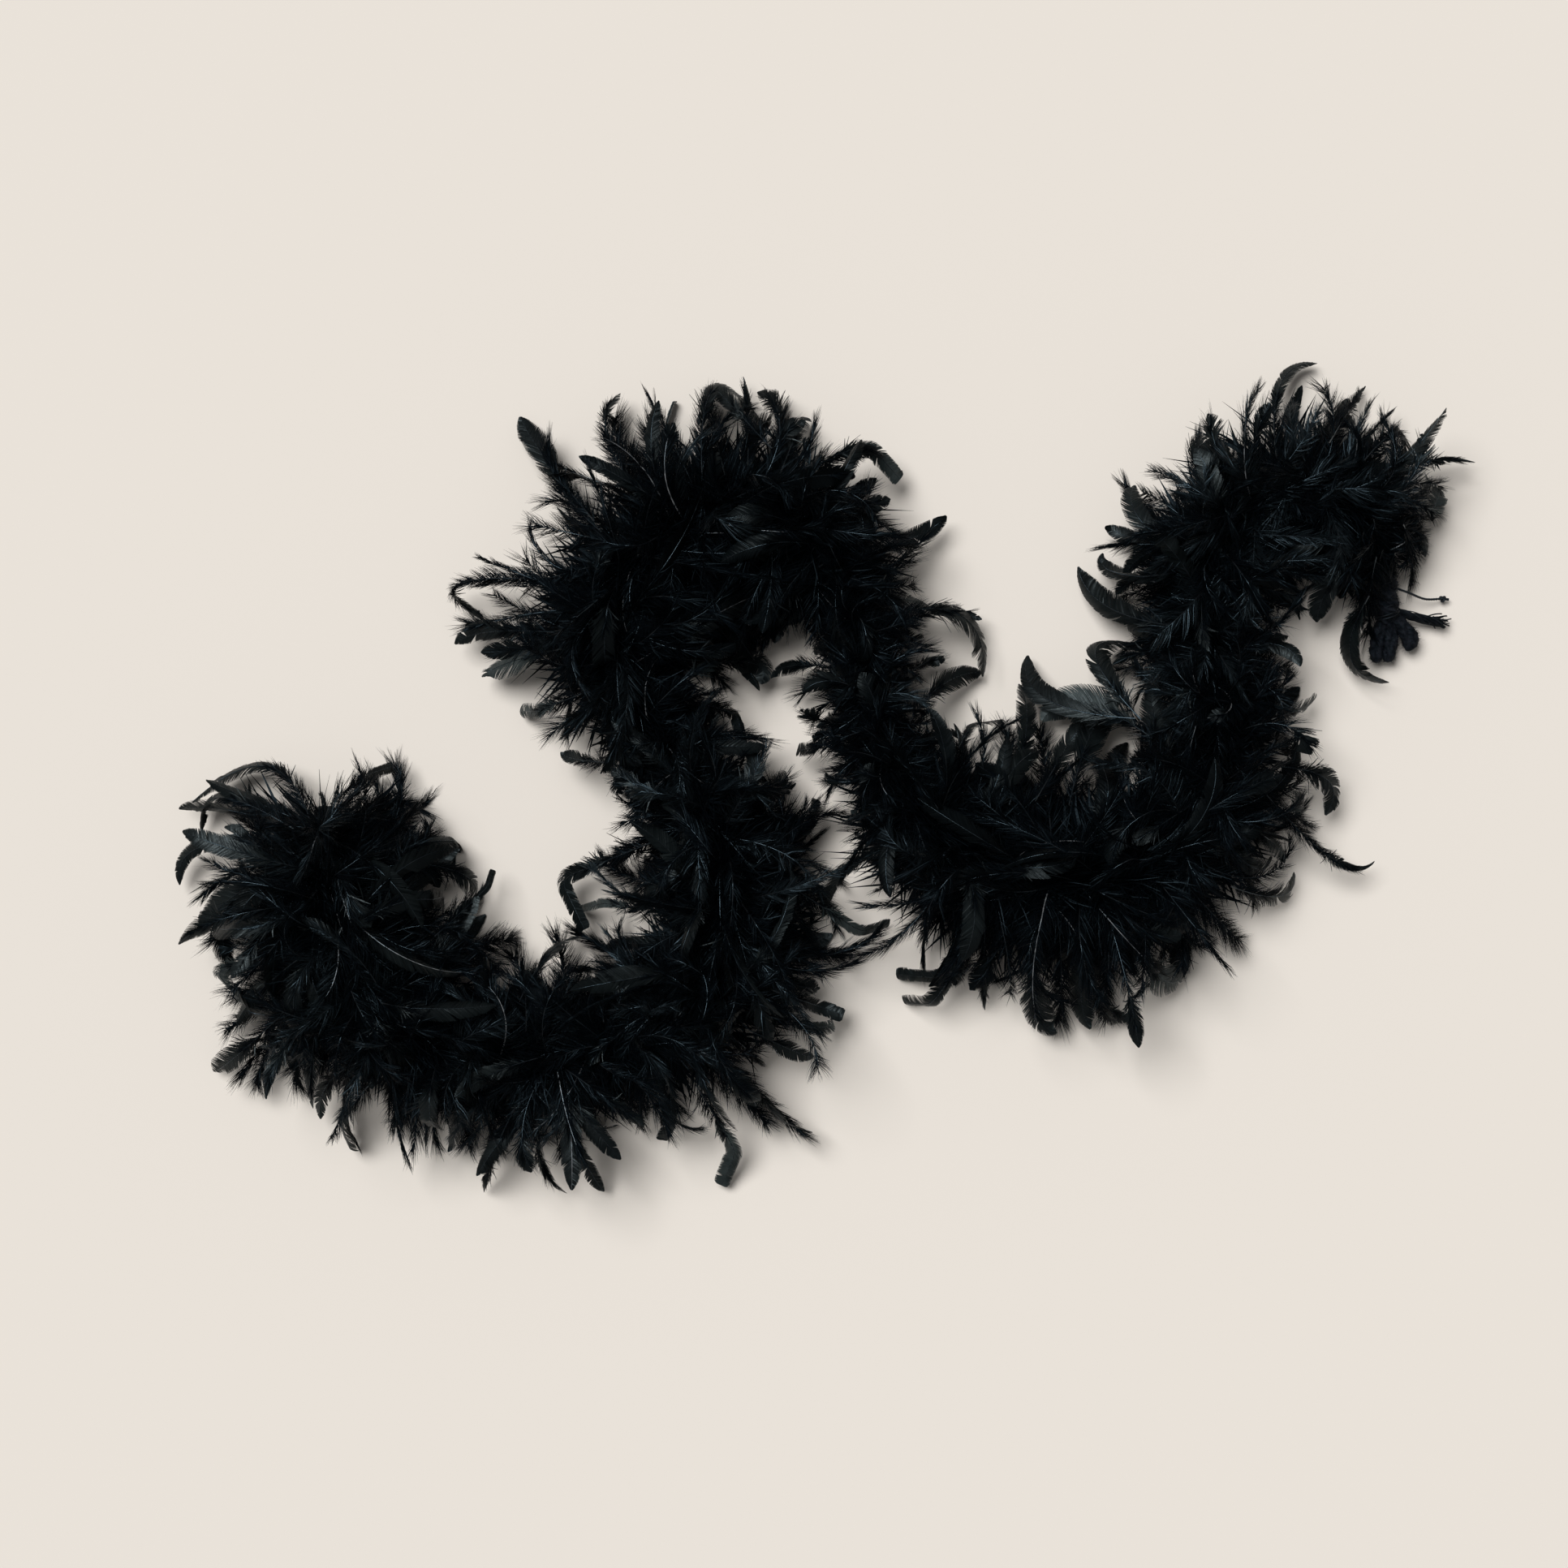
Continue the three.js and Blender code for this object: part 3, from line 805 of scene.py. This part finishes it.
def add_under_down(strips, at, spread, rng):
    """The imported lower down, which keeps the table from showing through."""
    many = UNDER_DOWN_BARBS
    place = at + rng.uniform(-0.5, 0.5, many) * spread
    root, along = core.points(place), core.alongs(place)
    side = np.cross(UP, along) * np.where(rng.uniform(0, 1, many) < 0.5, -1.0, 1.0)[:, None]
    heading = unit(side + along * rng.normal(0, 0.45, many)[:, None])
    reach = rng.uniform(0.58, 0.88, many) * core.reach(place)
    t = np.linspace(0, 1, UNDER_DOWN_STATIONS)
    bow = along * np.clip(rng.normal(0, 0.35, many), -0.55, 0.55)[:, None]
    line = straight_lines(root, heading, reach, t)
    line = line + bow[:, None] * (reach[:, None] * t**2)[..., None]
    line[..., 2] = root[:, None, 2] * (0.9 - rng.uniform(0.35, 0.75, many)[:, None] * t)
    across = np.cross(heading, UP + rng.normal(0, 0.3, (many, 3)))[:, None]
    across = np.repeat(across, UNDER_DOWN_STATIONS, axis=1)
    taper = np.interp(t, [0, 0.5, 0.8, 1], [1, 0.85, 0.4, 0.04])
    widths = rng.uniform(0.003, 0.005, many)[:, None] * taper[None]
    strips.add_grid(kept_in(ribbons(line, across, widths)), DOWN)


def add_whorl_feather(strips, at, turn, lean, swell, rng):
    """One feather of a whorl, set into the core at a turn round it, 0 to its right and a quarter turn up."""
    place = at + rng.uniform(-0.5, 0.5) * WHORL_SPREAD
    along = core.along(place)
    side = np.cross(UP, along)
    radial = side * math.cos(turn) + UP * math.sin(turn)
    upward = max(math.sin(turn), 0)
    lean = rng.normal(lean, 0.55 + 0.9 * upward)
    past_start, past_end = at < 1.5 * WHORL_SPREAD, at > core.length - 1.5 * WHORL_SPREAD
    lean = np.clip(lean, -0.45 if past_start else -3.0, 0.25 if past_end else 3.0)
    outward = radial + along * lean + side * rng.normal(0, 0.9) * upward
    root = core.point(place) + radial * 0.006
    facing = UP + rng.normal(0, 0.4, 3) + radial * 0.3
    kind = rng.choice(list(KIND_SHARES), p=list(KIND_SHARES.values()))
    longer = {"fluff": 1.0, "brush": 1.06, "plume": 1.10}.get(kind, 1.16)
    length = core.reach(place) * swell * longer * rng.uniform(0.84, 1.18)
    kink = (rng.uniform(0.6, 0.85), rng.uniform(0.4, 1.1)) if kind == "strap" else None
    droop, curl, sway = rng.uniform(0.3, 1.1), rng.normal(0.2, 0.5), rng.normal(0, 1.25)
    spine = grown_spine(root, outward, facing, length, droop, curl, sway, kink)
    quill = Quill(spine, facing, rng.normal(0, 0.6))
    half_width = rng.uniform(0.0065, 0.0110)
    dull = any(start < place < end for start, end in DULL_STRETCHES)
    # A few whorl feathers take the vane colour of painted light shining through.
    material = LIT_THROUGH_VANE if rng.uniform() < 0.03 else DULL_VANE if dull and rng.uniform() < 0.75 else VANE
    # Feathers turned up take the down with painted sheen more often, so the tops look lit.
    painted_sheen_share = (0.02 + 0.04 * upward) if dull else (0.10 + 0.30 * upward)
    down = SHEEN_PAINTED_DOWN if rng.uniform() < painted_sheen_share else DOWN
    # About one quill in twenty takes the pale colour of a painted glint.
    glint_painted = rng.uniform() < 0.05
    add_feather(strips, rng, quill, kind, half_width, rng.uniform(0.014, 0.022), material, down, glint_painted, 1.08)


def grow_whorl(name, at, rng, singles):
    strips = Strips()
    add_core_fluff(strips, at, WHORL_SPREAD, rng)
    add_under_down(strips, at, WHORL_SPREAD, rng)
    leans = rng.normal(0, 0.55, 4)
    swells = rng.uniform(0.86, 1.16, 4)
    for number in range(FEATHERS_IN_WHORL):
        turn = math.radians(-46 + 272 * (number + rng.uniform(0, 1)) / FEATHERS_IN_WHORL)
        quarter = 4 * number // FEATHERS_IN_WHORL
        add_whorl_feather(strips, at, turn, leans[quarter], swells[quarter], rng)
    for row in singles:
        add_single(strips, row, rng)
    return strips.build(name, feather_materials)


def body_place(body):
    """How far along the core a body's whorls are, on average."""
    return np.mean([place for node, place in WHORL_PLACES.items() if BODY_OF_NODE[node] == body])


def joint_near(at):
    """The joint whose pivot is near this length along the core, if any, and the pivot's own length."""
    for joint in frame["joints"]:
        pivot = core.nearest(joint["pos_m"])
        if abs(pivot - at) < NEAR_A_BEND:
            return joint, pivot
    return None, None


def follow(piece, node, at):
    """A whorl goes with its body; one beside a bend is attached to no body, and its transform is applied to its
    mesh.
    """
    joint, pivot = joint_near(at)
    if joint is None:
        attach(piece, BODY_OF_NODE[node])
        return
    along = core.along(pivot) * BLEND_HALF
    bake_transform(piece)


def nearest_whorl(place):
    at = core.nearest(place)
    return min(WHORLS, key=lambda node: abs(WHORL_PLACES[node] - at))


def make_whorls():
    singles = {node: [] for node in WHORLS}
    for row in SINGLE_FEATHERS:
        singles[nearest_whorl(in_metres(row[1]))].append(row)
    for index, node in enumerate(WHORLS):
        rng = np.random.default_rng(100 + index)
        name = node.replace("feather_whorl", "feathers")
        piece = grow_whorl(name, WHORL_PLACES[node], rng, singles[node])
        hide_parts(node)
        follow(piece, node, WHORL_PLACES[node])


def make_long_feathers():
    for index, (node, row) in enumerate(LONG_FEATHERS.items()):
        rng = np.random.default_rng(300 + index)
        kind, root, middle, tip, width = row
        strips = Strips()
        quill = laid_quill(root, middle, tip, rng, folded=kind == "strap", high=0.056)
        add_feather(strips, rng, quill, kind, width * HALF_WIDTH, 0.014, density=1.8)
        piece = strips.build(node.replace("long_feather", "long_plume"), feather_materials)
        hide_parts(node)
        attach(piece, BODY_OF_NODE[node])


make_whorls()
make_long_feathers()


# ---- core cord, its binding and its two ends

BODIES = sorted(BODY_NODES, key=body_place)
PIVOTS = sorted(core.nearest(joint["pos_m"]) for joint in frame["joints"])
SECTION_ENDS = [0.0, *PIVOTS, core.length]
STRAND_RADIUS = 0.00145
STRAND_OFFSET = 0.00150
STRAND_LAY = 0.016
BINDING_RADIUS = 0.0042
BINDING_PITCH = 0.0052
WHIPPING_RADIUS = 0.0090
WHIPPING_HAIRS = 1500
TAB_HAIRS = 700
LOOSE_YARNS = 44


def wound_line(start, end, radius, pitch, phase, per_turn=12):
    """A line that winds round the core from one length to another."""
    count = max(int((end - start) / pitch * per_turn), 8)
    places = np.linspace(start, end, count)
    turn = phase + 2 * np.pi * (places - start) / pitch
    middle = core.points(places)
    along = unit(np.gradient(middle, axis=0))
    side, above = sides_of(along)
    return middle + radius * (side * np.cos(turn)[:, None] + above * np.sin(turn)[:, None])


def finished(strips, name, material, node):
    piece = strips.build(name, [material])
    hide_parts(node)
    return piece


def make_section(number, body, start, end):
    """The core between two bends: three strands laid together, and the thread bound round them."""
    strands = Strips()
    for ply in range(3):
        line = wound_line(start + 0.0008, end - 0.0008, STRAND_OFFSET, STRAND_LAY, 2.094 * ply)
        strands.add_grid(tube(line, STRAND_RADIUS, sides=6), 0, closed=True)
    cord = finished(strands, f"laid_cord_{number}", cord_material, f"core_cord_{number}")
    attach(cord, body)
    winding = Strips()
    line = wound_line(start + 0.001, end - 0.001, BINDING_RADIUS, BINDING_PITCH, 0.4, 16)
    winding.add_grid(tube(line, 0.0005, sides=4), 0, closed=True)
    node = f"thread_binding_{number}"
    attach(finished(winding, f"wound_thread_{number}", thread_material, node), body)


def trefoil(count, height):
    """The closed line of a simple knot, about three across."""
    t = np.linspace(0, 2 * np.pi, count)
    level = [np.sin(t) + 2 * np.sin(2 * t), np.cos(t) - 2 * np.cos(2 * t)]
    return np.stack([*level, -height * np.sin(3 * t)], axis=-1)


def make_start_knot():
    """The cord's first end, tied in an overhand knot."""
    low, high = (np.array(corner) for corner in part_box("start_knot"))
    line = (low + high) / 2 + trefoil(90, 1.3) / 3.0 * (high - low).min() / 2 * 0.74
    strips = Strips()
    strips.add_grid(tube(line, 0.0024, sides=8), 0, closed=True)
    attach(finished(strips, "overhand_knot", cord_material, "start_knot"), BODIES[0])


def add_fuzz(strips, base, outward, longest, rng, material=0):
    """Fine short hairs that stand off a skin at the points of base."""
    many = len(base)
    heading = unit(unit(outward) + rng.normal(0, 0.45, (many, 3)))
    t = np.linspace(0, 1, 4)
    reach = rng.uniform(0.35, 1.0, many) * longest
    hair = straight_lines(base, heading, reach, t)
    curl = rng.normal(0, 0.35, (many, 3)) * reach[:, None]
    hair = hair + curl[:, None] * (t**2)[None, :, None]
    across = turned_any_way(heading, len(t), rng)
    widths = 0.00026 * (1 - 0.8 * t)[None] * np.ones((many, 1))
    strips.add_grid(kept_in(ribbons(hair, across, widths)), material)


def make_whipping():
    """The sleeve of cloth and thread wound round the bare end, in lapping turns that bulge."""
    low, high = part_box("end_whipping")
    start, end = core.nearest(high), core.length - 0.0005
    rng = np.random.default_rng(400)
    stations, around = 72, 40
    share = np.linspace(0, 1, stations)
    places = start + (end - start) * share
    middle = core.points(places)
    along = unit(np.gradient(middle, axis=0))
    side, above = sides_of(along)
    turn = np.linspace(0, 2 * np.pi, around, endpoint=False)
    wander = 0.9 * np.sin(2.3 * turn[None] + 5 * share[:, None])
    wander = wander + 0.6 * np.sin(turn[None] - 9 * share[:, None])
    lap = share[:, None] * 7.5 + (turn[None] + wander) / (2 * np.pi)
    bulge = np.abs(np.sin(np.pi * lap))
    creases = sum(
        size * np.sin(count * turn[None] + pitch * share[:, None] + rng.uniform(0, 6.28))
        for count, pitch, size in ((2, 7, 0.07), (3, 16, 0.07), (5, 29, 0.06), (8, 47, 0.05), (13, 80, 0.035))
    )
    closing = np.interp(share, [0, 0.06, 0.75, 1.0], [0.80, 1.0, 1.0, 0.60])[:, None]
    radius = WHIPPING_RADIUS * closing * (0.91 + 0.09 * bulge + creases)
    ring = side[:, None] * np.cos(turn)[None, :, None] + above[:, None] * np.sin(turn)[None, :, None]
    strips = Strips()
    strips.add_grid((middle[:, None] + ring * radius[..., None])[None], 0, closed=True)
    for phase, pitch in ((0.0, 0.0085), (2.0, 0.0130)):
        thread = wound_line(start + 0.002, end - 0.002, WHIPPING_RADIUS * 0.97, pitch, phase, 24)
        strips.add_grid(tube(thread, 0.00045, sides=4), 1, closed=True)
    place = rng.integers(1, stations - 1, WHIPPING_HAIRS)
    spot = rng.integers(0, around, WHIPPING_HAIRS)
    away = ring[place, spot]
    add_fuzz(strips, middle[place] + away * radius[place, spot][:, None], away, 0.0032, rng)
    piece = strips.build("whipped_end", [tab_material, thread_material])
    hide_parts("end_whipping")
    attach(piece, BODIES[-1])


def smooth_line(knots, count):
    """A line of count points, evenly spread, that passes smoothly through a few."""
    rows = smooth_rows(knots, 12)
    lengths = np.r_[0, np.cumsum(np.linalg.norm(np.diff(rows, axis=0), axis=1))]
    even = np.linspace(0, lengths[-1], count)
    return np.stack([np.interp(even, lengths, rows[:, k]) for k in range(3)], axis=-1), lengths[-1]


def make_frayed_end():
    """The cord's own loose yarns, which come out beside the whipping and splay at their ends."""
    low, high = (np.array(corner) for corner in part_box("frayed_cord_end"))
    root = np.array([low[0] - 0.004, high[1] - 0.004, high[2] - 0.004])
    end = np.array([high[0] - 0.003, low[1] + 0.005, low[2] + 0.003])
    rng = np.random.default_rng(401)
    strips = Strips()
    t = np.linspace(0, 1, 30)[:, None]
    way = unit(end - root)
    side, above = sides_of(way)
    for _ in range(LOOSE_YARNS):
        turn, out = rng.uniform(0, 6.28), rng.uniform(0.0006, 0.0034)
        length = rng.uniform(0.86, 1.06)
        twist = turn + 5.0 * t + rng.normal(0, 0.6) * t**2
        splay = out * (1 + rng.uniform(0.0, 1.1) * np.clip(t - 0.55, 0, 1) * 2)
        line = root + (end - root) * t * length
        line = line + splay * (side * np.cos(twist) + above * np.sin(twist))
        curl = rng.normal(0, 0.0016, 3) * np.clip(t - 0.6, 0, 1) ** 2 * 6
        line = kept_in(line + curl)
        strips.add_grid(tube(line, rng.uniform(0.0003, 0.00055), sides=5), 0, closed=True)
    piece = finished(strips, "frayed_yarns", cord_material, "frayed_cord_end")
    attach(piece, BODIES[-1])


def make_thread_tail():
    """The whipping thread's loose end: it leaves the whipping, comes down and lies on the table, knotted."""
    low, high = (np.array(corner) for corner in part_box("thread_tail"))
    knot_low, knot_high = (np.array(corner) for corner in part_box("thread_tail_knot"))
    knot_middle = (knot_low + knot_high) / 2
    exit_place = np.array([low[0], high[1] - 0.001, high[2] - 0.001])
    across = knot_middle[0] - low[0]
    knots = [
        exit_place,
        exit_place + np.array([0.30 * across, -0.0034, -0.0058]),
        exit_place + np.array([0.64 * across, -0.0072, -0.0135]),
        knot_middle,
    ]
    line, length = smooth_line(knots, 26)
    strips = Strips()
    fine, _ = smooth_line(knots, 110)
    side, above = sides_of(unit(np.gradient(fine, axis=0)))
    for ply in range(2):
        turn = (np.linspace(0, length / 0.0040 * 2 * np.pi, len(fine)) + np.pi * ply)[:, None]
        yarn = fine + 0.00045 * (side * np.cos(turn) + above * np.sin(turn))
        strips.add_grid(tube(yarn, 0.00055, sides=6), 0, closed=True)
    tail = finished(strips, "loose_thread", thread_material, "thread_tail")
    knot = Strips()
    knot.add_grid(tube(knot_middle + trefoil(60, 1.2) * 0.00072, 0.0007, sides=6), 0, closed=True)
    stub = np.linspace(knot_middle, knot_middle + np.array([0.0045, -0.0005, -0.0006]), 8)
    knot.add_grid(tube(stub, np.linspace(0.0008, 0.0011, 8), sides=6), 0, closed=True)
    bead = finished(knot, "thread_knot", thread_material, "thread_tail_knot")
    for piece in (tail, bead):
        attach(piece, BODIES[-1])


# Each tab of cloth: its node, half its width, how far it bends aside, and the share of its node's box that it
# reaches, across and down.
END_TABS = [
    ("end_tab_1", 0.0050, -0.0014, 0.50, 0.82),
    ("end_tab_2", 0.0050, 0.0016, 0.25, 0.72),
    ("end_tab_3", 0.0060, 0.0022, 0.92, 0.66),
]


def make_end_tab(node, half_width, bend, across, down, rng):
    """A short tab of cloth folded back on itself: a soft creased lobe, ragged and round at its end."""
    low, high = (np.array(corner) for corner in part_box(node))
    root = core.point(core.length - 0.004)
    root[0] += 0.35 * ((low[0] + high[0]) / 2 - root[0])
    tip = low + (high - low) * np.array([across, 1 - down, 0.5])
    way = unit(tip - root)
    length = np.linalg.norm(tip - root)
    side, above = sides_of(way)
    stations, around = 48, 36
    share = np.linspace(0, 1, stations)
    turn = np.linspace(0, 2 * np.pi, around, endpoint=False)
    lobe = np.interp(share, [0, 0.15, 0.5, 0.78, 0.92, 0.98, 1], [0.75, 0.88, 1.0, 1.04, 0.84, 0.5, 0.06])
    width = half_width * lobe
    thick = 0.0043 * np.interp(share, [0, 0.15, 0.5, 0.85, 0.96, 1], [0.8, 0.9, 1.0, 0.9, 0.55, 0.05])
    crease = 1 - 0.24 * np.exp(-(((turn - np.pi / 2 + 0.5 * np.sin(6 * share[:, None])) / 0.4) ** 2))
    rough = sum(
        size
        * np.sin(count * turn[None] + rng.uniform(0.6, 1.5) * pitch * share[:, None] + rng.uniform(0, 6.28))
        for count, pitch, size in ((2, 8, 0.07), (3, 17, 0.06), (5, 26, 0.05), (9, 50, 0.035))
    )
    ring = side * (np.cos(turn)[None] * width[:, None])[..., None]
    ring = ring + above * (np.sin(turn)[None] * thick[:, None])[..., None]
    ring = ring * (crease * (1 + rough))[..., None]
    middle_line = root + way * (length * share)[:, None] + side * (bend * np.sin(np.pi * share))[:, None]
    middle_line[:, 2] = np.maximum(middle_line[:, 2], 0.0048)
    strips = Strips()
    strips.add_grid(kept_in(middle_line[:, None] + ring)[None], 0, closed=True)
    place = rng.integers(3, stations - 1, TAB_HAIRS)
    spot = rng.integers(0, around, TAB_HAIRS)
    away = ring[place, spot]
    outward = unit(away) + way * rng.uniform(0, 1.0, (TAB_HAIRS, 1))
    add_fuzz(strips, middle_line[place] + away, outward, 0.0030, rng)
    piece = finished(strips, node.replace("end_tab", "folded_tab"), tab_material, node)
    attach(piece, BODIES[-1])


for number, body in enumerate(BODIES, start=1):
    make_section(number, body, SECTION_ENDS[number - 1], SECTION_ENDS[number])
make_start_knot()
make_whipping()
make_frayed_end()
make_thread_tail()
for number, row in enumerate(END_TABS, start=1):
    make_end_tab(*row, np.random.default_rng(410 + number))


# ---- floor and light

FLOOR_COLOUR = (0.807, 0.752, 0.686)
FLOOR_HALF = 6.0
SKY_STRENGTH = 0.17
SUN_STRENGTH = 3.08
SUN_SPREAD = math.radians(34)
SUN_TILT = (math.radians(-21), math.radians(-23), 0)


def make_floor():
    mesh = bpy.data.meshes.new("floor")
    turns = ((-1, -1), (1, -1), (1, 1), (-1, 1))
    corners = [(FLOOR_HALF * x, FLOOR_HALF * y, 0) for x, y in turns]
    mesh.from_pydata(corners, [], [(0, 1, 2, 3)])
    floor = placed("floor", mesh)
    material, _, shader = principled("floor")
    shader.inputs["Base Color"].default_value = (*FLOOR_COLOUR, 1)
    shader.inputs["Roughness"].default_value = 0.9
    shader.inputs["Specular IOR Level"].default_value = 0.1
    mesh.materials.append(material)


def make_light():
    world = bpy.data.worlds.new("world")
    world.use_nodes = True
    sky = world.node_tree.nodes["Background"]
    sky.inputs["Color"].default_value = (1, 1, 1, 1)
    sky.inputs["Strength"].default_value = SKY_STRENGTH
    bpy.context.scene.world = world
    data = bpy.data.lights.new("key", "SUN")
    data.energy = SUN_STRENGTH
    data.angle = SUN_SPREAD
    placed("key", data).rotation_euler = SUN_TILT
    bpy.context.scene.view_settings.view_transform = "Standard"
    bpy.context.scene.view_settings.look = "None"


make_floor()
make_light()
